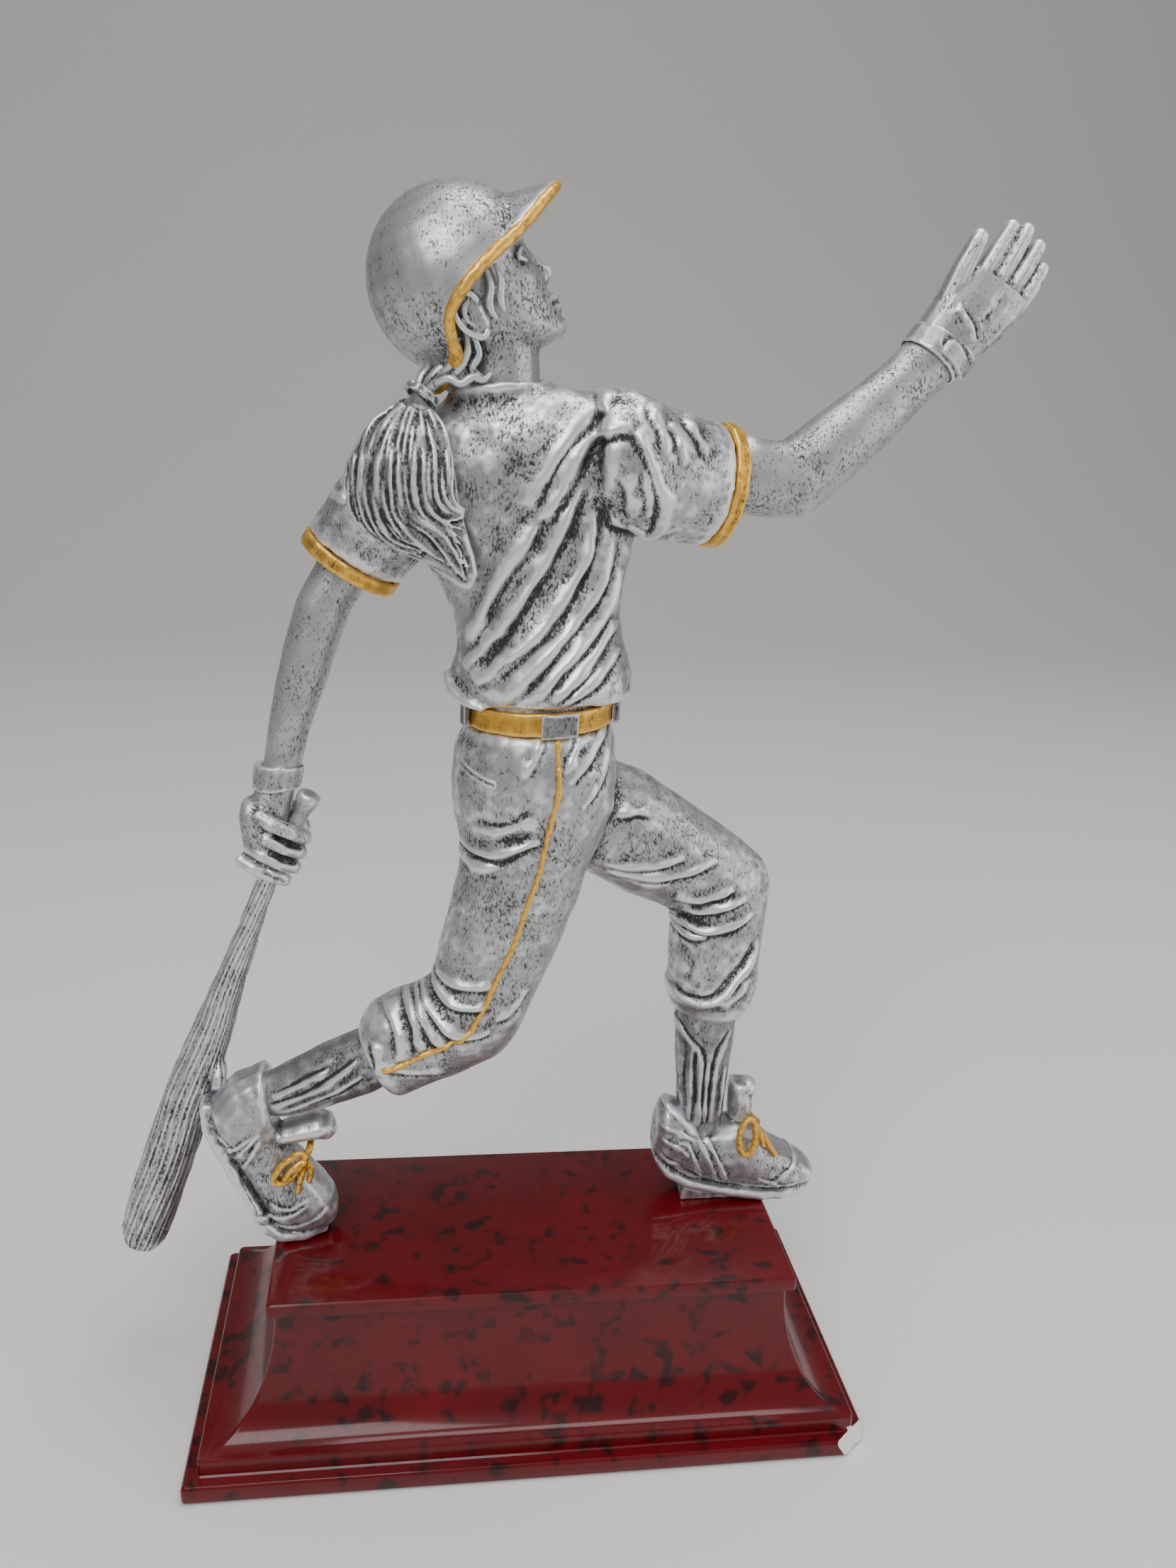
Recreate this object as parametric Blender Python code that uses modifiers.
"""Figure trophy: a softball batter in antique silver on a red lacquered base.

Every outline below is in millimetres in the trophy's own frame: the origin is the
centre of the pad under the base, +X is the way the batter strides and +Z is up.
"""

import math

import bmesh
import bpy
import numpy as np
from mathutils import Matrix, Vector

MM = 0.001
GAP = 0.3

BASE_LENGTH = 150.0
BASE_WIDTH = 75.0
PLINTH_BOTTOM = 0.5
PLINTH_EDGE = 4.0
STEP_LENGTH = 143.8
STEP_WIDTH = 69.0
COVE_BOTTOM = 8.5
COVE_TOP = 36.3
COVE_LENGTH = 112.5
COVE_WIDTH = 49.0
PLATE_LENGTH = 116.0
PLATE_WIDTH = 52.4
PLATE_TOP = 39.7
CORNER_ROUND = 0.9
PAD_THICKNESS = 0.9
PAD_RECESS = 0.6
PAD_MARGIN = 3.0
CHIP_SIZE = (8.0, 12.0, 8.0)
# How far the chip's middle lies beyond the plinth's front right corner, and its height.
CHIP_PLACE = (2.3, 0.6, 5.2)
CHIP_YAW = math.radians(38)
CHIP_PITCH = math.radians(-34)

STUD_RADIUS = 1.5
STUD_DEPTH = 11.0
STUD_RISE = 6.0
STUDS = {"left": (49.0, 8.0), "right": (-53.5, -0.5)}

HEAD_CENTRE = Vector((-20.0, 0.0, 244.7))
HEAD_TILT = math.radians(30)
HELMET_RADII = (16.9, 17.1, 14.6)

TUBE_SIDES = 2
LOFT_SIDES = 16

# A finish is (colour, roughness, metallic value).
SILVER = ((0.50, 0.51, 0.53), 0.38, 0.8)
DARK_SILVER = ((0.20, 0.21, 0.22), 0.45, 0.7)
GOLD = ((0.72, 0.45, 0.12), 0.3, 1.0)
LACQUER = ((0.20, 0.010, 0.015), 0.15, 0.0)
FELT = ((0.03, 0.03, 0.03), 0.95, 0.0)
STEEL = ((0.55, 0.56, 0.58), 0.3, 1.0)

# A rib is (one edge point, the opposite edge point, half depth across them).
SEAT_AND_RIGHT_LEG = (
    ((-16.8, 0, 160.2), (12.8, 0, 161.4), 14.6),
    ((-19.2, 0, 155.5), (14.2, 0, 156.5), 15.6),
    ((-19.8, -0.5, 148.5), (14.5, -0.5, 149.5), 16.0),
    ((-19.4, -1.5, 142), (14.3, -1.5, 143), 15.4),
    ((-17.6, -3.5, 136), (12, -3.5, 137.5), 13.0),
    ((-17.9, -5, 130.5), (8.8, -5, 130.5), 11.5),
    ((-19.4, -6, 125), (6.8, -6, 124), 11.0),
    ((-21, -6.2, 117.5), (4, -6.2, 116.5), 10.5),
    ((-22.5, -6.3, 110), (1.2, -6.3, 109), 10.0),
    ((-23.6, -6.2, 105.5), (-2.2, -6.2, 100.4), 9.8),
    ((-25.3, -6, 104), (-5, -6, 93), 9.8),
    ((-28.2, -5.7, 102.6), (-9, -5.7, 87.8), 9.6),
    ((-32.5, -5.2, 101.2), (-16, -5.2, 84), 9.2),
    ((-36.5, -4.7, 98.5), (-23.5, -4.7, 80.5), 8.8),
    ((-39.2, -4.4, 93), (-29.5, -4.4, 77.2), 8.2),
)
LEFT_LEG = (
    ((5, 6, 153), (3, 6, 131), 8.5),
    ((13, 7, 151), (10, 7, 125.5), 10.5),
    ((21.6, 8, 148.1), (17, 8, 121), 11.0),
    ((30, 9, 142.5), (24.5, 9, 117.5), 10.8),
    ((38, 9.5, 136.8), (29, 9.5, 115.5), 10.4),
    ((46, 10, 131), (31.5, 10, 114.3), 10.2),
    ((52, 10, 126), (32, 10, 113), 10.0),
    ((53.8, 10, 120), (31.5, 10, 110.5), 9.8),
    ((53.2, 9.8, 113.5), (31.3, 9.8, 107), 9.5),
    ((52.6, 9.4, 105), (31.5, 9.4, 101), 9.2),
    ((53, 9, 97), (31.2, 9, 95.5), 9.2),
    ((51.8, 8.8, 91.5), (32.5, 8.8, 91), 8.4),
    ((49.6, 8.6, 88.4), (34.2, 8.6, 88.6), 7.4),
)
WAIST_CORE = (
    ((-15.2, 0, 158), (11.4, 0, 159.2), 12.8),
    ((-15.2, 0, 163), (11.4, 0, 164.2), 12.8),
    ((-15.2, 0, 168), (11.4, 0, 169.2), 12.4),
)
BELT = (
    ((-15.5, 0, 160.6), (11.7, 0, 161.8), 13.1),
    ((-15.5, 0, 165.2), (11.7, 0, 166.4), 13.1),
)
JERSEY = (
    ((-17.0, 0, 165.8), (14.3, 0, 167.3), 14.0),
    ((-20.0, 0, 168.6), (16.8, 0, 170.5), 15.0),
    ((-20.2, 0, 172.6), (15.8, 0, 174.6), 14.2),
    ((-18.4, 0.5, 177), (14.2, 0, 179), 13.2),
    ((-19.6, 1, 181.5), (13.3, 0, 184), 12.8),
    ((-21.8, 2, 187), (13.8, -0.5, 190), 12.8),
    ((-25.5, 3, 192.5), (15.0, -1, 196), 12.8),
    ((-31, 4.5, 199), (15.5, -2.5, 202), 12.8),
    ((-36, 6, 206), (15.5, -4.5, 209), 12.4),
    ((-36, 6, 212), (14.5, -5.5, 216.5), 11.6),
    ((-31, 5, 217), (12.5, -5.5, 222), 10.4),
    ((-24.5, 3, 221.2), (7, -4, 225.5), 8.8),
    ((-20.5, 1, 224.6), (-3.0, -1, 227), 7.6),
)
RIGHT_SLEEVE = (
    ((6, -6.5, 226.6), (7, -6, 205), 9.0),
    ((13, -6, 227.2), (12, -5.5, 201.5), 10.6),
    ((20, -4.5, 224.2), (18.5, -4, 199), 10.4),
    ((27, -2, 222.3), (24, -2, 198.5), 9.6),
    ((31.8, -0.3, 221.6), (28.8, -0.3, 198), 9.2),
)
LEFT_SLEEVE = (
    ((-31, 4.5, 216), (-20, 4.5, 200.5), 8.6),
    ((-38.5, 5.5, 212.5), (-23.8, 5.5, 195.5), 10.0),
    ((-43.3, 6.5, 206.3), (-27.2, 6.5, 191.8), 10.0),
    ((-46.8, 7.5, 200.5), (-29.8, 7.5, 189.2), 9.6),
    ((-48.3, 7.8, 198.2), (-30.8, 7.8, 187.6), 9.4),
)
BAND_WIDTH = 3.2
BAND_WALL = 1.5
BAND_PROUD = 0.4
SLEEVE_WALL = 1.6
RIGHT_ARM = (
    ((28.2, 0, 218), (26.5, 0, 205.5), 6.2),
    ((37.5, 1, 220), (36, 1, 204.2), 6.6),
    ((42, 2, 219), (43, 2, 203.5), 6.8),
    ((45.5, 3, 219), (51, 3, 203.8), 6.8),
    ((48.5, 4, 221), (56.5, 4, 207.8), 6.5),
    ((53.7, 5, 225), (62.7, 5, 213.5), 6.2),
    ((60.3, 6.5, 229.8), (69.3, 6.5, 219.7), 5.4),
    ((66.8, 8.5, 234.6), (75.3, 8.5, 226), 4.8),
    ((70.5, 9.7, 238.2), (79.7, 9.7, 230), 4.5),
    ((73.1, 10.6, 241.2), (83.1, 10.6, 233.7), 4.4),
)
LEFT_ARM = (
    ((-43.5, 7.6, 198.5), (-32.5, 7.6, 193), 4.8),
    ((-48, 7.5, 190), (-37.5, 7.5, 186.5), 5.0),
    ((-51, 7, 184.5), (-40.8, 7, 181), 5.0),
    ((-53.8, 6.5, 175), (-43.4, 6.5, 173), 4.9),
    ((-55.7, 6, 167), (-46, 6, 165), 4.5),
    ((-57.2, 5, 158), (-48.8, 5, 157), 4.0),
    ((-58.2, 4.4, 151.5), (-50.3, 4.4, 151), 3.5),
    ((-58.8, 4, 147.6), (-51.2, 4, 147.4), 3.3),
)
RIGHT_STRAP = (
    ((70.6, 10, 239.4), (82, 10, 231.4), 5.6),
    ((73.8, 11.2, 243.4), (86.2, 11.2, 235.6), 5.6),
)
TAB_SPAN = (0.12, 0.88)
TAB_TURN = (205, 275)
TAB_TOP = 1.1
LEFT_STRAP = (
    ((-60.4, 4.2, 150), (-50, 4.2, 149.6), 4.9),
    ((-60.8, 3.8, 144.2), (-50.8, 3.8, 145), 4.9),
)
RIGHT_PALM = (
    ((73.5, 10.8, 241.7), (83.5, 10.8, 234.4), 4.3),
    ((77, 11.5, 247.2), (90, 11.5, 238.6), 4.2),
    ((80, 12, 251.2), (95, 12, 243.8), 3.8),
    ((84.5, 12.5, 254.6), (97.5, 12.5, 247.6), 2.6),
)
# Each finger is its points with their radii, from root to tip.
RIGHT_FINGERS = (
    ((79.8, 11.4, 247.5, 2.6), (82, 10.8, 254, 2.1), (84.3, 10.2, 259.6, 1.6)),
    ((86, 12, 251.5, 2.0), (89.6, 12.2, 258, 1.8), (92, 12.6, 262.3, 1.4)),
    ((89.4, 12, 250, 2.0), (92.9, 12.2, 257.2, 1.8), (95.3, 12.6, 261.8, 1.4)),
    ((92.2, 12, 248, 1.9), (96, 12.2, 254.8, 1.7), (98.3, 12.6, 259, 1.3)),
    ((94.2, 12, 245.5, 1.8), (97.8, 12.2, 250.9, 1.5), (99.8, 12.6, 254.8, 1.2)),
)
LEFT_PALM = (
    ((-59, 3.8, 147), (-51.6, 3.8, 146.8), 3.2),
    ((-61.8, 3.4, 141), (-52.4, 3.4, 142.2), 4.4),
    ((-63, 3, 135), (-53.5, 3, 137.5), 5.4),
    ((-62.4, 3, 129.5), (-55, 3, 131), 5.2),
    ((-60.3, 3, 125.4), (-57.5, 3, 126), 3.6),
)
LEFT_FINGER = ((-59.4, -0.6, 140.2), (-56.4, -2.3, 138.8), (-52.6, -2.6, 137), (-50.2, -0.9, 135.6))
LEFT_FINGER_STEPS = ((0, 0, 0), (-0.9, 0, -3.3), (-2.0, 0, -6.6), (-4.0, 0.4, -9.6))
LEFT_THUMB = ((-57.5, 5.2, 142.6), (-53.5, 7.2, 139.4), (-51, 6.4, 135.4))
FINGER_RADIUS = 1.9

# The bat's centre line with its radius, from the knob to the barrel's end.
BAT_AXIS = (
    (-48.6, 1.6, 144.2, 2.3),
    (-49.3, 1.7, 142.9, 2.6),
    (-50, 1.8, 141.6, 2.3),
    (-50.6, 1.9, 140.2, 1.9),
    (-54.6, 2.4, 132, 1.9),
    (-58.5, 2.9, 123.7, 2.1),
    (-62, 3.5, 114, 2.4),
    (-66.6, 4.2, 101.3, 3.2),
    (-71, 4.9, 89, 4.3),
    (-75.3, 5.5, 76.6, 5.3),
    (-81, 6.2, 60, 5.7),
    (-85.6, 6.7, 46, 5.7),
    (-88.9, 7.1, 35.4, 5.2),
    (-89.9, 7.2, 32.4, 3.9),
    (-90.4, 7.3, 30.9, 1.6),
)
HEEL_BRIDGE = (
    (-70.4, 4.5, 83, 1.6),
    (-70.2, 3.0, 80.6, 2.0),
    (-70, 1.4, 78.4, 2.0),
    (-69.6, 0, 76, 1.6),
)
PONYTAIL = (
    ((-28.6, -3.2, 224.6), (-25.8, -4.6, 223), 1.7),
    ((-31.7, -5.5, 221.6), (-23.3, -8, 220.8), 2.8),
    ((-36.2, -7, 217.5), (-21.4, -10.5, 217), 3.6),
    ((-39.5, -7.5, 212), (-19.8, -12.5, 211.3), 3.8),
    ((-40.7, -7.5, 206), (-19, -13.5, 206), 3.8),
    ((-39.3, -8, 200.8), (-17.5, -14, 200.5), 3.6),
    ((-34, -8, 196.3), (-16, -13.8, 196), 3.2),
    ((-26, -10.5, 193.3), (-15.3, -14, 192.3), 2.6),
    ((-19.8, -12.5, 189.6), (-16.8, -13.8, 189), 1.4),
)
NECK = (
    ((-21, 0, 238), (-5, 0, 236.5), 7.4),
    ((-19.6, 0, 232), (-4.4, 0, 231.5), 7.4),
    ((-19.4, -0.3, 227), (-4.2, -0.3, 228), 7.4),
    ((-19.4, -0.3, 221.5), (-4.2, -0.3, 222.5), 7.0),
)
# The head's level slices: height, front, back and half width in the tilted head frame.
HEAD_SLICES = (
    (-17.5, 13.0, 8.0, 2.6),
    (-16.2, 14.6, 4.0, 5.0),
    (-13.6, 14.4, 0.0, 7.4),
    (-10.5, 14.8, -5.0, 9.0),
    (-7.0, 14.6, -9.0, 10.0),
    (-3.0, 13.8, -11.5, 10.8),
    (1.5, 14.2, -12.5, 11.0),
    (6.0, 13.0, -12.0, 10.6),
    (10.0, 10.0, -9.5, 8.6),
    (12.6, 5.0, -5.0, 4.6),
)
NOSE = ((13.2, -1.2, 1.1), (15.2, -4.4, 1.4), (16.8, -6.8, 1.6))
EAR_CENTRE = (-1.2, -7.0)
EAR_SIDE = 10.3
EAR_RADII = (2.9, 1.5, 4.5)
NAPE_CENTRE = (-6.5, -11.5)
NAPE_RADII = (6.5, 5.5, 8.0)
# The helmet's lower edge, as (forward, up) in the tilted head frame.
HELMET_EDGE = (
    (12.6, 1.4),
    (7.1, 0.3),
    (2.3, -1.0),
    (-2.5, -3.1),
    (-5.6, -5.4),
    (-6.6, -8.5),
    (-7.0, -11.8),
    (-9.6, -14.2),
    (-13.2, -14.6),
)
# The visor's outer edge and its root in the dome: (forward, up) at the sides, then from there to the tip.
VISOR_SIDE = (8.5, 0.4)
VISOR_TIP = (15.8, 5.6)
VISOR_ROOT_SIDE = (6.0, 1.6)
VISOR_ROOT_TIP = (6.0, 7.2)
VISOR_HALF_WIDTH = 11.6
VISOR_ROOT_HALF_WIDTH = 9.6
VISOR_THICKNESS = 1.4
TRIM_RADIUS = 0.6
TIE = (
    ((-28.0, -3.6, 225.6), (-24.6, -5.0, 223.9), 2.0),
    ((-28.7, -4.1, 224.3), (-25.3, -5.5, 222.6), 2.0),
)
TIE_WALL = (0.7, 1.5)

LEFT_SHOE = (
    ((31.6, 8, 62.5), (31.1, 8, 52.5), 3.2),
    ((33, 8, 65.2), (32.3, 8, 50.2), 4.8),
    ((36, 8, 64), (35.4, 8, 47.9), 5.7),
    ((40, 8, 60), (40, 8, 45.9), 6.0),
    ((45, 8, 58.4), (46, 8, 44.4), 6.2),
    ((50, 8, 59.4), (52, 8, 43.3), 6.4),
    ((55, 8, 56.8), (57, 8, 42.7), 6.5),
    ((60, 8, 52.5), (61.5, 8, 42.6), 6.3),
    ((65, 8, 49.6), (65.5, 8, 42.8), 5.8),
    ((68.8, 8, 47.2), (68.8, 8, 43.5), 4.4),
    ((70.3, 8, 45.6), (70.2, 8, 44.3), 2.4),
)
LEFT_SOLE_LINE = (
    (30.9, 50, 3.4),
    (33, 46.7, 5.0),
    (38, 43.9, 5.8),
    (45, 42, 6.0),
    (51, 40.9, 6.5),
    (57, 40.2, 6.8),
    (63, 40.1, 6.4),
    (68, 40.7, 4.9),
    (70.6, 42.2, 2.8),
)
RIGHT_SHOE = (
    ((-60, -2, 82.6), (-59, -2, 70.5), 5.6),
    ((-66, -2, 79.6), (-58, -1.8, 67.5), 5.9),
    ((-70.6, -1.5, 74.5), (-56.8, -1.5, 65), 5.9),
    ((-70.4, -1.2, 70), (-55, -1.2, 62.5), 5.7),
    ((-66.6, -1, 62.6), (-52.6, -1, 59.2), 5.7),
    ((-63.5, -0.8, 56.2), (-50, -0.8, 55.8), 5.9),
    ((-60.8, -0.5, 50), (-47.6, -0.5, 52.7), 6.2),
    ((-58.4, -0.4, 44.8), (-45.8, -0.4, 50), 6.2),
    ((-55.4, -0.2, 42.8), (-44.9, -0.2, 46.8), 5.4),
    ((-50.6, -0.1, 42.4), (-45, 0, 44), 3.6),
)
RIGHT_SOLE_LINE = (
    (-73.2, 74.5, 4.2),
    (-72.7, 69, 4.8),
    (-69.3, 61.6, 5.6),
    (-66, 55, 5.9),
    (-63, 48.8, 6.3),
    (-60.2, 43.4, 6.6),
    (-57, 40.6, 6.3),
    (-51.5, 40, 5.4),
    (-46.4, 40.8, 3.2),
)
SOLE_THICKNESS = 2.2
LEFT_FOOT_Y = 8.0
RIGHT_FOOT_Y = -0.6
FOOT_BLOCK = ((37.5, 40), (54, 40), (51, 40.5), (45, 41.6), (38, 43.4))
FOOT_BLOCK_SIDES = (3.6, 12.4)
LEFT_SOCK = (
    ((48, 8.6, 96), (34, 8.6, 96), 6.3),
    ((48.4, 8.5, 88), (33.6, 8.5, 88), 6.3),
    ((48.2, 8.4, 81), (34.3, 8.4, 81), 5.8),
    ((47.6, 8.2, 72), (35.4, 8.2, 72), 5.2),
    ((47.2, 8, 65), (36, 8, 65), 4.9),
    ((46.8, 8, 53), (36.8, 8, 53), 4.6),
)
RIGHT_SOCK = (
    ((-32, -4.8, 95.6), (-27, -4.8, 83), 7.0),
    ((-40.5, -4.2, 91.6), (-36, -4.2, 78), 7.0),
    ((-47.5, -3.5, 88.2), (-44.5, -3.5, 74.4), 6.2),
    ((-54, -2.6, 84.2), (-52, -2.6, 71.8), 5.4),
    ((-58.5, -2, 81.4), (-58.3, -2, 71.2), 4.9),
    ((-66, -1.6, 77.2), (-64.4, -1.6, 69.5), 4.3),
)
LEFT_TONGUE = (
    ((53.6, 8, 60.4), (48.6, 8, 60.8), 3.6),
    ((54, 8, 63.5), (48.4, 8, 63.8), 4.2),
    ((53.8, 8, 66.8), (48.4, 8, 67), 4.3),
    ((52, 8, 69.6), (48.6, 8, 69.8), 3.4),
)
RIGHT_TONGUE = (
    ((-60, -2, 66.4), (-59, -2, 63), 3.0),
    ((-55.6, -2, 68.4), (-54.6, -2, 64.4), 3.7),
    ((-51.8, -2, 69.8), (-51, -2, 65), 4.2),
    ((-48, -2, 70.8), (-47.4, -2, 65.6), 4.2),
    ((-45.3, -2, 69.8), (-45, -2, 67), 3.2),
)
LACE_RADIUS = 0.55
LEFT_LACE = (
    (59.8, 3.0, 52.6),
    (57, 2.2, 56.4),
    (54.2, 2.0, 60.6),
    (53.2, 1.8, 63),
    (51.6, 1.0, 62.6),
    (49.9, 0.6, 59.6),
    (50.3, 0.5, 56),
    (51.9, 0.5, 54.6),
    (53.3, 0.6, 57),
    (53.6, 0.6, 60.2),
)
RIGHT_LACE = (
    (-52.6, -7.6, 56),
    (-51.4, -7.4, 59.4),
    (-50, -7, 63),
    (-51.2, -7.8, 64.2),
    (-53.8, -8.2, 63),
    (-56.4, -8.2, 60.4),
    (-57, -8.2, 58.4),
    (-55.2, -8.4, 58.4),
    (-53.3, -8.9, 60.4),
    (-51.6, -9.2, 62),
)
BELT_THICKNESS = 1.6
BELT_LOOP_THICKNESS = 1.0
# Each loop's middle and half width, in degrees round the belt.
BELT_LOOPS = {"right": (-99, 13), "rear": (-12, 6), "front": (-168, 6), "left": (99, 13)}
# Where the piping and the pocket lie on the trousers: ribs along, then degrees round.
PIPING_LINE = (
    (0.2, 99),
    (1.1, 100),
    (2.4, 99),
    (4.6, 98),
    (6.7, 96),
    (8.7, 95),
    (10, 95),
    (12, 91),
    (13.8, 78),
)
POCKET_LINE = ((1.55, 25), (1.75, 42), (1.95, 58))
PIPING_RADIUS = 0.6
POCKET_RADIUS = 0.5


def clear_scene():
    for obj in list(bpy.data.objects):
        bpy.data.objects.remove(obj, do_unlink=True)


def new_collection(name):
    collection = bpy.data.collections.new(name)
    bpy.context.scene.collection.children.link(collection)
    return collection


def principled(name, colour, roughness, metallic):
    material = bpy.data.materials.new(name)
    material.use_nodes = True
    shader = material.node_tree.nodes["Principled BSDF"]
    shader.inputs["Base Color"].default_value = (*colour, 1.0)
    shader.inputs["Roughness"].default_value = roughness
    shader.inputs["Metallic"].default_value = metallic
    return material


def place(obj, name, finish=None):
    """Names the object and puts it with the parts, or with the cutters if it has no finish."""
    obj.name = name
    obj.data.name = name
    for collection in list(obj.users_collection):
        collection.objects.unlink(obj)
    if finish is None:
        CUTTERS.objects.link(obj)
        obj.hide_render = True
        obj.display_type = "WIRE"
    else:
        PARTS.objects.link(obj)
        obj.data.materials.append(principled(name, *finish))
    return obj


def from_bmesh(mesh, name, finish):
    bmesh.ops.recalc_face_normals(mesh, faces=mesh.faces)
    data = bpy.data.meshes.new(name)
    mesh.to_mesh(data)
    mesh.free()
    data.shade_smooth()
    data.set_sharp_from_angle(angle=math.radians(40))
    obj = bpy.data.objects.new(name, data)
    bpy.context.scene.collection.objects.link(obj)
    return place(obj, name, finish)


def between(rows, t):
    """A smooth curve through the rows, read at t rows from the first."""
    last = len(rows) - 1
    i = min(int(t), last - 1)
    f = t - i
    before, start, end, after = (np.array(rows[min(max(k, 0), last)], float) for k in range(i - 1, i + 3))
    slope_start = (end - before) / 2 if i > 0 else end - start
    slope_end = (after - start) / 2 if i + 1 < last else end - start
    return (
        (2 * f**3 - 3 * f**2 + 1) * start
        + (f**3 - 2 * f**2 + f) * slope_start
        + (3 * f**2 - 2 * f**3) * end
        + (f**3 - f**2) * slope_end
    )


def flat_rows(ribs):
    return [(*edge, *opposite, depth) for edge, opposite, depth in ribs]


def on_loft(ribs, t, angle, grow=0.0, square=2.0):
    """The point of the lofted skin at t ribs along and at this angle round, moved out by grow."""
    rows = flat_rows(ribs)
    row = between(rows, t)
    near = between(rows, max(t - 0.05, 0))
    far = between(rows, min(t + 0.05, len(rows) - 1))
    along = (far[:3] + far[3:6]) - (near[:3] + near[3:6])
    half = (row[:3] - row[3:6]) / 2
    across = np.cross(half, along)
    across /= np.linalg.norm(across)
    length = np.linalg.norm(half)
    c, s = math.cos(angle), math.sin(angle)
    c = math.copysign(abs(c) ** (2 / square), c)
    s = math.copysign(abs(s) ** (2 / square), s)
    centre = (row[:3] + row[3:6]) / 2
    point = centre + half / length * (length + grow) * c + across * (row[6] + grow) * s
    return Vector(point) * MM


def ring(mesh, ribs, t, sides, grow, square, shift=None):
    verts = []
    for k in range(sides):
        point = on_loft(ribs, t, 2 * math.pi * k / sides, grow, square)
        verts.append(mesh.verts.new(point + shift if shift else point))
    return verts


def bridge(mesh, first, second):
    count = len(first)
    for k in range(count):
        n = (k + 1) % count
        mesh.faces.new((first[k], first[n], second[n], second[k]))


def end_shift(ribs, t, grow):
    """How far a grown loft runs past its end, so that a socket has room beyond its peg."""
    inner = min(max(t, 0.1), len(ribs) - 1.1)
    centre = (on_loft(ribs, t, 0) + on_loft(ribs, t, math.pi)) / 2
    before = (on_loft(ribs, inner, 0) + on_loft(ribs, inner, math.pi)) / 2
    return (centre - before).normalized() * grow * MM


def loft(name, ribs, finish=None, sides=LOFT_SIDES, steps=1, grow=0.0, square=2.0):
    """A closed skin through the ribs, with flat ends."""
    mesh = bmesh.new()
    count = (len(ribs) - 1) * steps
    rings = []
    for i in range(count + 1):
        t = i / steps
        shift = end_shift(ribs, t, grow) if i in (0, count) and grow > 0 else None
        rings.append(ring(mesh, ribs, t, sides, grow, square, shift))
    for first, second in zip(rings, rings[1:]):
        bridge(mesh, first, second)
    mesh.faces.new(reversed(rings[0]))
    mesh.faces.new(rings[-1])
    return from_bmesh(mesh, name, finish)


def hoop(name, ribs, inner, outer, finish, sides=LOFT_SIDES, steps=1):
    """A ring between two offsets of the lofted skin, along all its ribs."""
    mesh = bmesh.new()
    count = (len(ribs) - 1) * steps
    outside = [ring(mesh, ribs, i / steps, sides, outer, 2.0) for i in range(count + 1)]
    inside = [ring(mesh, ribs, i / steps, sides, inner, 2.0) for i in range(count + 1)]
    loops = outside + inside[::-1]
    for first, second in zip(loops, loops[1:] + loops[:1]):
        bridge(mesh, first, second)
    return from_bmesh(mesh, name, finish)


def patch(name, ribs, span, turn, inner, outer, finish, steps=4):
    """A plate that lies on the lofted skin over a span of ribs and a turn of angles."""
    mesh = bmesh.new()
    sections = []
    for i in range(steps + 1):
        angle = math.radians(turn[0] + (turn[1] - turn[0]) * i / steps)
        corners = ((span[0], inner), (span[1], inner), (span[1], outer), (span[0], outer))
        sections.append([mesh.verts.new(on_loft(ribs, t, angle, grow)) for t, grow in corners])
    for first, second in zip(sections, sections[1:]):
        bridge(mesh, first, second)
    mesh.faces.new(reversed(sections[0]))
    mesh.faces.new(sections[-1])
    return from_bmesh(mesh, name, finish)


def round_ribs(points):
    """Ribs for a round bar, from its centre points with their radii."""
    centres = np.array([point[:3] for point in points])
    along = np.gradient(centres, axis=0)
    side = np.cross(along, (0.0, 1.0, 0.0))
    side /= np.linalg.norm(side, axis=1)[:, None]
    ribs = []
    for point, centre, across in zip(points, centres, side):
        ribs.append((tuple(centre + across * point[3]), tuple(centre - across * point[3]), point[3]))
    return ribs


def bar(name, points, finish=None, sides=10, steps=1, grow=0.0):
    return loft(name, round_ribs(points), finish, sides, steps, grow)


def capsule(name, points, finish=None, sides=8, steps=1):
    """A round bar whose tip is domed."""
    before = np.array(points[-2][:3])
    tip = np.array(points[-1][:3])
    radius = points[-1][3]
    along = (tip - before) / np.linalg.norm(tip - before)
    dome = [(*(tip + along * radius * rise), radius * wide) for rise, wide in ((0.6, 0.8), (0.95, 0.35))]
    return bar(name, [*points, *dome], finish, sides, steps)


def prism(name, outline, low, high, finish=None):
    """A plate with this outline in X and Z, from low to high in Y."""
    mesh = bmesh.new()
    face = mesh.faces.new([mesh.verts.new((x * MM, low * MM, z * MM)) for x, z in outline])
    grown = bmesh.ops.extrude_face_region(mesh, geom=[face])["geom"]
    raised = [item for item in grown if isinstance(item, bmesh.types.BMVert)]
    bmesh.ops.translate(mesh, verts=raised, vec=(0, (high - low) * MM, 0))
    return from_bmesh(mesh, name, finish)


def ball(name, centre, radii, turn=Matrix.Identity(3), finish=None, segments=14, rows=8):
    mesh = bmesh.new()
    bmesh.ops.create_uvsphere(mesh, u_segments=segments, v_segments=rows, radius=1.0)
    size = Matrix.Diagonal(Vector(radii) * MM)
    bmesh.ops.transform(mesh, verts=mesh.verts, matrix=(turn @ size).to_4x4())
    bmesh.ops.translate(mesh, verts=mesh.verts, vec=Vector(centre) * MM)
    return from_bmesh(mesh, name, finish)


def cylinder(name, centre, radius, low, high, finish=None, segments=14):
    mesh = bmesh.new()
    depth = (high - low) * MM
    radii = {"radius1": radius * MM, "radius2": radius * MM}
    bmesh.ops.create_cone(mesh, cap_ends=True, segments=segments, depth=depth, **radii)
    middle = Vector((centre[0], centre[1], (low + high) / 2)) * MM
    bmesh.ops.translate(mesh, verts=mesh.verts, vec=middle)
    return from_bmesh(mesh, name, finish)


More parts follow.
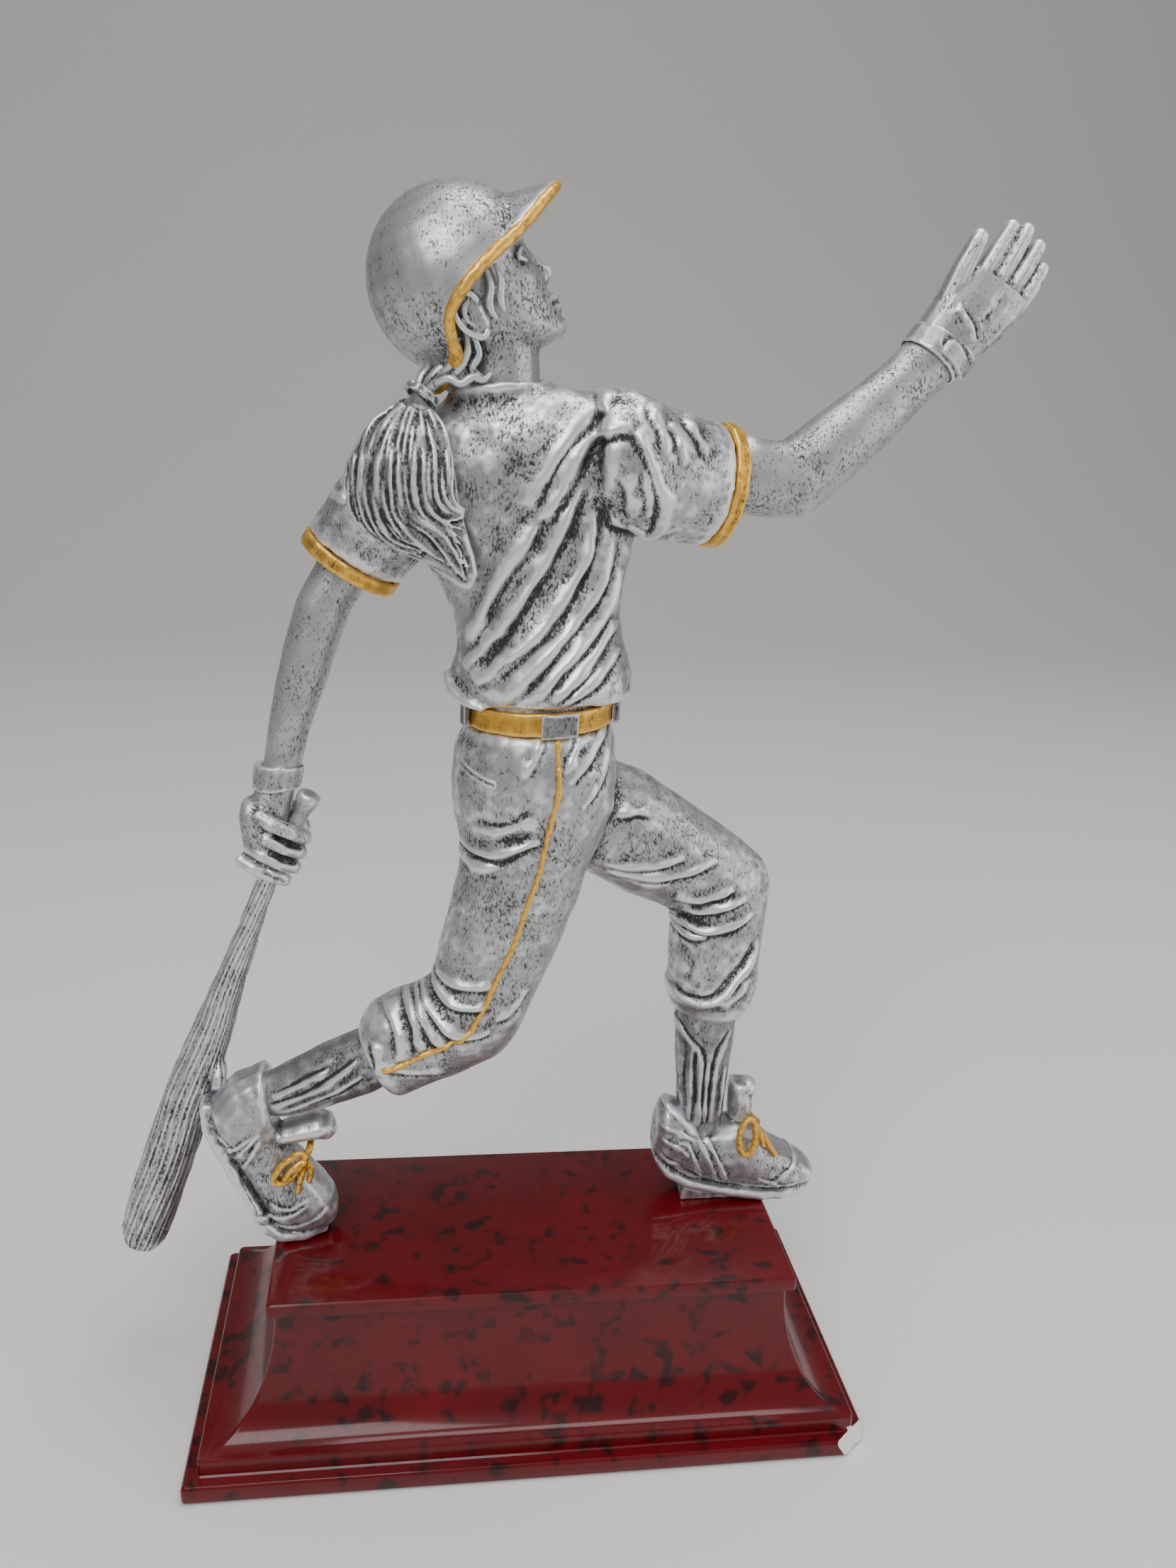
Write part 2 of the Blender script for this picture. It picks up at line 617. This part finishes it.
def box(name, centre, size, finish=None, turn=Matrix.Identity(3)):
    mesh = bmesh.new()
    bmesh.ops.create_cube(mesh, size=1.0)
    shape = turn @ Matrix.Diagonal(Vector(size) * MM)
    bmesh.ops.transform(mesh, verts=mesh.verts, matrix=shape.to_4x4())
    bmesh.ops.translate(mesh, verts=mesh.verts, vec=Vector(centre) * MM)
    return from_bmesh(mesh, name, finish)


def tube(name, points, radius, finish, cyclic=False):
    """A wire along points in metres."""
    curve = bpy.data.curves.new(name, "CURVE")
    curve.dimensions = "3D"
    curve.bevel_depth = radius * MM
    curve.bevel_resolution = TUBE_SIDES
    curve.use_fill_caps = not cyclic
    spline = curve.splines.new("POLY")
    spline.points.add(len(points) - 1)
    for point, place_of in zip(spline.points, points):
        point.co = (*place_of, 1.0)
    spline.use_cyclic_u = cyclic
    obj = bpy.data.objects.new(name, curve)
    bpy.context.scene.collection.objects.link(obj)
    return place(obj, name, finish)


def smooth_points(points, steps=3):
    """Points in metres along a smooth curve through these points in millimetres."""
    count = (len(points) - 1) * steps
    return [Vector(between(points, i / steps)) * MM for i in range(count + 1)]


def boolean(obj, other, operation, solver="EXACT"):
    modifier = obj.modifiers.new(f"{operation.lower()}_{other.name}", "BOOLEAN")
    modifier.object = other
    modifier.operation = operation
    modifier.solver = solver


def cut(obj, *cutters, solver="EXACT"):
    for cutter in cutters:
        boolean(obj, cutter, "DIFFERENCE", solver)


def join(obj, *others):
    for other in others:
        boolean(obj, other, "UNION")


def head_point(forward, up, side=0.0):
    """A point of the tilted head frame, in millimetres of the trophy's frame."""
    c, s = math.cos(HEAD_TILT), math.sin(HEAD_TILT)
    return HEAD_CENTRE + Vector((forward * c - up * s, side, forward * s + up * c))


def stepped_block(name, levels, finish):
    """A four-sided block that rises through (length, width, height) levels."""
    mesh = bmesh.new()
    length, width, height = levels[0]
    corners = ((-0.5, -0.5), (0.5, -0.5), (0.5, 0.5), (-0.5, 0.5))
    face = mesh.faces.new([mesh.verts.new((x * length, y * width, height)) for x, y in corners])
    bottom = face
    for long, wide, high in levels[1:]:
        grown = bmesh.ops.extrude_face_region(mesh, geom=[face])["geom"]
        if face is not bottom:
            bmesh.ops.delete(mesh, geom=[face], context="FACES_ONLY")
        face = [item for item in grown if isinstance(item, bmesh.types.BMFace)][0]
        scale = (long / length, wide / width, 1.0)
        bmesh.ops.scale(mesh, verts=face.verts, vec=scale)
        bmesh.ops.translate(mesh, verts=face.verts, vec=(0, 0, high - height))
        length, width, height = long, wide, high
    upright = [edge for edge in mesh.edges if abs(edge.verts[0].co.z - edge.verts[1].co.z) > 0.01]
    bmesh.ops.bevel(mesh, geom=upright, offset=CORNER_ROUND, segments=2, affect="EDGES", profile=0.5)
    bmesh.ops.scale(mesh, verts=mesh.verts, vec=(MM, MM, MM))
    return from_bmesh(mesh, name, finish)


def base_levels():
    levels = [
        (BASE_LENGTH - 0.6, BASE_WIDTH - 0.6, PLINTH_BOTTOM),
        (BASE_LENGTH, BASE_WIDTH, PLINTH_BOTTOM + 0.4),
        (BASE_LENGTH, BASE_WIDTH, PLINTH_EDGE - 0.5),
        (BASE_LENGTH - 1.0, BASE_WIDTH - 1.0, PLINTH_EDGE + 0.4),
        (STEP_LENGTH + 0.6, STEP_WIDTH + 0.6, PLINTH_EDGE + 0.6),
        (STEP_LENGTH, STEP_WIDTH, PLINTH_EDGE + 1.2),
        (STEP_LENGTH, STEP_WIDTH, COVE_BOTTOM),
    ]
    steps = 8
    for i in range(steps - 1, -1, -1):
        turn = math.radians(90 * i / steps)
        flare = 1 - math.cos(turn)
        long = COVE_LENGTH + (STEP_LENGTH - 2.0 - COVE_LENGTH) * flare
        wide = COVE_WIDTH + (STEP_WIDTH - 2.0 - COVE_WIDTH) * flare
        levels.append((long, wide, COVE_TOP - (COVE_TOP - COVE_BOTTOM) * math.sin(turn)))
    levels += [
        (PLATE_LENGTH - 0.8, PLATE_WIDTH - 0.8, COVE_TOP + 0.02),
        (PLATE_LENGTH, PLATE_WIDTH, COVE_TOP + 0.7),
        (PLATE_LENGTH, PLATE_WIDTH, PLATE_TOP - 0.8),
        (PLATE_LENGTH - 1.4, PLATE_WIDTH - 1.4, PLATE_TOP),
    ]
    return levels


def make_base():
    base = stepped_block("base_casting", base_levels(), LACQUER)
    pad_length = BASE_LENGTH - 2 * PAD_MARGIN
    pad_width = BASE_WIDTH - 2 * PAD_MARGIN
    box("felt_pad", (0, 0, PAD_THICKNESS / 2), (pad_length, pad_width, PAD_THICKNESS), FELT)
    recess_size = (pad_length + 2 * GAP, pad_width + 2 * GAP, 2 * PAD_RECESS + 2 * GAP)
    recess = box("pad_recess", (0, 0, PLINTH_BOTTOM - GAP), recess_size)
    chip_turn = Matrix.Rotation(CHIP_YAW, 3, "Z") @ Matrix.Rotation(CHIP_PITCH, 3, "Y")
    beyond, before, height = CHIP_PLACE
    corner = (BASE_LENGTH / 2 + beyond, -BASE_WIDTH / 2 - before, height)
    cut(base, recess, box("corner_chip", corner, CHIP_SIZE, turn=chip_turn))
    low, high = PLATE_TOP - STUD_DEPTH, PLATE_TOP + STUD_RISE
    for side, centre in STUDS.items():
        cylinder(f"{side}_foot_stud", centre, STUD_RADIUS, low, high, STEEL)
        hole = cylinder(f"{side}_stud_hole", centre, STUD_RADIUS + GAP, low - GAP, high + GAP)
        STUD_HOLES[side] = hole
        cut(base, hole)


def sole_ribs(line, centre_y, lift):
    """Ribs of a sole that runs along its lower line, as thick as lift on its inner side."""
    points = np.array([(x, z) for x, z, _ in line])
    along = np.gradient(points, axis=0)
    along /= np.linalg.norm(along, axis=1)[:, None]
    ribs = []
    for (x, z, half_width), (dx, dz) in zip(line, along):
        ribs.append(((x - dz * lift, centre_y, z + dx * lift), (x, centre_y, z), half_width))
    return ribs


def make_shoe(side, upper_ribs, sole_line, foot_y, tongue_ribs, lace, sock_room):
    """One shoe: its upper, sole, tongue and bow, round the sock and on its stud."""
    ribs = sole_ribs(sole_line, foot_y, SOLE_THICKNESS)
    sole = loft(f"{side}_shoe_sole", ribs, SILVER, 12, square=4)
    upper = loft(f"{side}_shoe_upper", upper_ribs, SILVER, square=2.4)
    tongue = loft(f"{side}_shoe_tongue", tongue_ribs, SILVER, 10)
    sole_room = loft(f"{side}_sole_room", ribs, None, 12, grow=GAP, square=4)
    upper_room = loft(f"{side}_upper_room", upper_ribs, grow=GAP, square=2.4)
    cut(upper, sole_room, sock_room, STUD_HOLES[side])
    cut(sole, STUD_HOLES[side])
    cut(tongue, sock_room, upper_room)
    tube(f"{side}_shoe_laces", smooth_points(lace, 2), LACE_RADIUS, GOLD)
    return {"sole": sole, "upper": upper, "sole_room": sole_room, "upper_room": upper_room}


def make_feet():
    """Socks, shoes and the block under the leading one. Returns the rooms for what joins them."""
    rooms = {}
    for side, ribs in (("left", LEFT_SOCK), ("right", RIGHT_SOCK)):
        loft(f"{side}_sock", ribs, DARK_SILVER)
        rooms[side] = loft(f"{side}_sock_room", ribs, grow=GAP)
    make_shoe("left", LEFT_SHOE, LEFT_SOLE_LINE, LEFT_FOOT_Y, LEFT_TONGUE, LEFT_LACE, rooms["left"])
    right = make_shoe(
        "right", RIGHT_SHOE, RIGHT_SOLE_LINE, RIGHT_FOOT_Y, RIGHT_TONGUE, RIGHT_LACE, rooms["right"]
    )
    block = prism("left_foot_block", FOOT_BLOCK, *FOOT_BLOCK_SIDES, SILVER)
    cut(block, STUD_HOLES["left"])
    return rooms, right


def make_trousers(sock_rooms):
    seat = loft("trousers_seat_and_right_leg", SEAT_AND_RIGHT_LEG, SILVER, 20)
    left = loft("trousers_left_leg", LEFT_LEG, SILVER)
    join(seat, loft("waist_core", WAIST_CORE, sides=20))
    cut(seat, loft("left_leg_room", LEFT_LEG, grow=GAP), sock_rooms["right"])
    cut(left, sock_rooms["left"])
    hoop("belt", BELT, 0.0, BELT_THICKNESS, GOLD, 24)
    inner = BELT_THICKNESS + GAP
    for side, (middle, half_turn) in BELT_LOOPS.items():
        turn = (middle - half_turn, middle + half_turn)
        patch(f"{side}_belt_loop", BELT, (0.0, 1.0), turn, inner, inner + BELT_LOOP_THICKNESS, DARK_SILVER)
    piping = [
        on_loft(SEAT_AND_RIGHT_LEG, t, math.radians(angle), PIPING_RADIUS + GAP)
        for t, angle in smooth_pairs(PIPING_LINE)
    ]
    tube("right_leg_piping", piping, PIPING_RADIUS, GOLD)
    welt = [
        on_loft(SEAT_AND_RIGHT_LEG, t, math.radians(angle), POCKET_RADIUS + GAP)
        for t, angle in smooth_pairs(POCKET_LINE)
    ]
    tube("rear_pocket_welt", welt, POCKET_RADIUS, SILVER)


def smooth_pairs(line, steps=3):
    count = (len(line) - 1) * steps
    return [between(line, i / steps) for i in range(count + 1)]


def make_jersey():
    body = loft("jersey_body", JERSEY, SILVER, 20)
    right = loft("right_sleeve", RIGHT_SLEEVE, SILVER)
    left = loft("left_sleeve", LEFT_SLEEVE, SILVER)
    hair_room = loft("ponytail_room", PONYTAIL, grow=GAP)
    right_room = loft("right_sleeve_room", RIGHT_SLEEVE, grow=GAP)
    left_room = loft("left_sleeve_room", LEFT_SLEEVE, grow=GAP)
    neck_room = loft("neck_room", NECK, grow=GAP)
    nape_room = head_lumps("collar_room", GAP)[0]
    cut(body, right_room, left_room, neck_room, hair_room, nape_room)
    cut(body, loft("waist_room", WAIST_CORE, sides=20, grow=GAP))
    sleeves = (("right", right, RIGHT_SLEEVE, RIGHT_ARM), ("left", left, LEFT_SLEEVE, LEFT_ARM))
    for side, sleeve, sleeve_ribs, arm_ribs in sleeves:
        band = (past_end(sleeve_ribs, GAP), past_end(sleeve_ribs, BAND_WIDTH))
        hoop(f"{side}_sleeve_band", band, BAND_PROUD - BAND_WALL, BAND_PROUD, GOLD)
        mouth = loft(f"{side}_sleeve_mouth", mouth_ribs(sleeve_ribs), grow=-SLEEVE_WALL)
        cut(sleeve, mouth, loft(f"{side}_arm_room", arm_ribs, grow=GAP), solver="MANIFOLD")
        loft(f"{side}_arm", arm_ribs, SILVER)


def past_end(ribs, distance):
    """The last rib, moved on by this distance along the loft."""
    rows = flat_rows(ribs)
    end = np.array(rows[-1], float)
    near = between(rows, len(rows) - 1.05)
    along = (end[:3] + end[3:6]) - (near[:3] + near[3:6])
    along *= distance / np.linalg.norm(along)
    return (tuple(end[:3] + along), tuple(end[3:6] + along), end[6])


def mouth_ribs(ribs):
    """The last stretch of a sleeve, carried past its end, for the hollow that the arm comes out of."""
    return [past_end(ribs, -3.0), past_end(ribs, 0.0), past_end(ribs, 2.0)]


def make_hands(bat_room):
    right = loft("right_hand", RIGHT_PALM, SILVER, square=2.5)
    for i, finger in enumerate(RIGHT_FINGERS):
        join(right, capsule(f"right_finger_{i}", finger))
    left = loft("left_hand", LEFT_PALM, SILVER, square=2.5)
    for i, (dx, dy, dz) in enumerate(LEFT_FINGER_STEPS):
        radius = FINGER_RADIUS - 0.12 * i
        points = [(x + dx, y + dy, z + dz, radius) for x, y, z in LEFT_FINGER]
        join(left, capsule(f"left_finger_{i}", points))
    join(left, capsule("left_thumb", [(*point, FINGER_RADIUS) for point in LEFT_THUMB]))
    cut(left, bat_room)
    wrists = (("right", RIGHT_STRAP, RIGHT_ARM, RIGHT_PALM), ("left", LEFT_STRAP, LEFT_ARM, LEFT_PALM))
    for side, strap_ribs, arm_ribs, palm_ribs in wrists:
        strap = loft(f"{side}_wrist_strap", strap_ribs, SILVER)
        arm_end = loft(f"{side}_arm_end", arm_ribs, grow=GAP)
        palm_end = loft(f"{side}_palm_end", palm_ribs, grow=GAP, square=2.5)
        cut(strap, arm_end, palm_end)
    patch("right_strap_tab", RIGHT_STRAP, TAB_SPAN, TAB_TURN, GAP, TAB_TOP, SILVER)


def make_bat(right_shoe):
    """The bat and the web that ties it to the heel. Returns the room that the bat needs."""
    bar("bat", BAT_AXIS, SILVER, sides=14)
    bat_room = bar("bat_room", BAT_AXIS, grow=GAP, sides=14)
    cut(right_shoe["sole"], bat_room)
    cut(right_shoe["upper"], bat_room)
    web = bar("bat_heel_bridge", HEEL_BRIDGE, SILVER, sides=8)
    cut(web, bat_room, right_shoe["upper_room"], right_shoe["sole_room"])
    return bat_room


def head_turn():
    return Matrix.Rotation(-HEAD_TILT, 3, "Y")


def skull(name, finish=None, grow=0.0):
    mesh = bmesh.new()
    rings = []
    last = len(HEAD_SLICES) - 1
    for i, (up, front, back, half_width) in enumerate(HEAD_SLICES):
        verts = []
        height = up + grow * (2 * i / last - 1)
        for k in range(LOFT_SIDES):
            angle = 2 * math.pi * k / LOFT_SIDES
            forward = (front + back) / 2 + ((front - back) / 2 + grow) * math.cos(angle)
            side = (half_width + grow) * (1 - 0.18 * math.cos(angle)) * math.sin(angle)
            verts.append(mesh.verts.new(head_point(forward, height, side) * MM))
        rings.append(verts)
    for first, second in zip(rings, rings[1:]):
        bridge(mesh, first, second)
    mesh.faces.new(reversed(rings[0]))
    mesh.faces.new(rings[-1])
    return from_bmesh(mesh, name, finish)


def head_lumps(use, grow=0.0):
    """The hair at the nape and the two ears."""
    nape_radii = [radius + grow for radius in NAPE_RADII]
    ear_radii = [radius + grow for radius in EAR_RADII]
    lumps = [ball(f"nape_{use}", head_point(*NAPE_CENTRE), nape_radii, head_turn())]
    for side in (-1, 1):
        centre = head_point(*EAR_CENTRE, side * EAR_SIDE)
        lumps.append(ball(f"ear_{side}_{use}", centre, ear_radii, head_turn(), segments=10, rows=6))
    return lumps


def make_head():
    head = skull("head", SILVER)
    nose = capsule("nose", [(*head_point(forward, up), radius) for forward, up, radius in NOSE])
    join(head, loft("neck", NECK), nose, *head_lumps("shape"))
    make_helmet()
    loft("ponytail", PONYTAIL, DARK_SILVER)
    hoop("hair_tie", TIE, *TIE_WALL, DARK_SILVER, 12)


def visor_edge(turn, out=0.0):
    """The visor's outer edge, from its tip at no turn to the helmet's sides at 90 degrees."""
    c, s = math.cos(turn), math.sin(turn)
    forward = VISOR_SIDE[0] + (VISOR_TIP[0] + out) * c
    return head_point(forward, VISOR_SIDE[1] + VISOR_TIP[1] * c, (VISOR_HALF_WIDTH + out) * s)


def visor_root(turn):
    c, s = math.cos(turn), math.sin(turn)
    forward = VISOR_ROOT_SIDE[0] + VISOR_ROOT_TIP[0] * c
    return head_point(forward, VISOR_ROOT_SIDE[1] + VISOR_ROOT_TIP[1] * c, VISOR_ROOT_HALF_WIDTH * s)


def make_visor():
    mesh = bmesh.new()
    rows = []
    columns = 10
    for depth in (0.0, 0.5, 1.0):
        row = []
        for k in range(columns + 1):
            turn = math.pi * (k / columns - 0.5)
            row.append(mesh.verts.new(visor_root(turn).lerp(visor_edge(turn), depth) * MM))
        rows.append(row)
    for first, second in zip(rows, rows[1:]):
        for k in range(columns):
            mesh.faces.new((first[k], first[k + 1], second[k + 1], second[k]))
    visor = from_bmesh(mesh, "visor", None)
    solidify = visor.modifiers.new("thickness", "SOLIDIFY")
    solidify.thickness = VISOR_THICKNESS * MM
    solidify.offset = 0.0
    return visor


def helmet_side(forward, up, side, out):
    """A point of the helmet's dome over this place of the head's side view, moved out."""
    long, high, wide = (radius + out for radius in HELMET_RADII)
    room = max(1 - (forward / long) ** 2 - (up / high) ** 2, 0.0)
    return head_point(forward, up, side * wide * math.sqrt(room))


def make_helmet():
    long, high, wide = HELMET_RADII
    helmet = ball("helmet", HEAD_CENTRE, (long, wide, high), head_turn(), SILVER, 24, 14)
    join(helmet, make_visor())
    below = [head_point(28, 1.4), *(head_point(*point) for point in HELMET_EDGE), head_point(-19, -19)]
    below += [head_point(-10, -30), head_point(30, -30)]
    cut(helmet, prism("face_opening", [(point.x, point.z) for point in below], -30, 30))
    rooms = head_lumps("room", GAP)
    cut(helmet, skull("skull_room", grow=GAP), *rooms, solver="MANIFOLD")
    edge = []
    for side in (-1, 1):
        line = [helmet_side(*point, side, TRIM_RADIUS + GAP) for point in HELMET_EDGE[1:-2]]
        tip = [visor_edge(side * math.radians(angle), TRIM_RADIUS + GAP + 0.4) for angle in (12, 36, 58, 76)]
        half = tip + line
        edge = half[::-1] + edge if side < 0 else edge + half
    tube("helmet_trim", [point * MM for point in edge], TRIM_RADIUS, GOLD)


clear_scene()
PARTS = new_collection("figure_trophy")
CUTTERS = new_collection("cutters")
STUD_HOLES = {}
make_base()
SOCK_ROOMS, RIGHT_SHOE_PIECES = make_feet()
make_trousers(SOCK_ROOMS)
make_jersey()
make_hands(make_bat(RIGHT_SHOE_PIECES))
make_head()
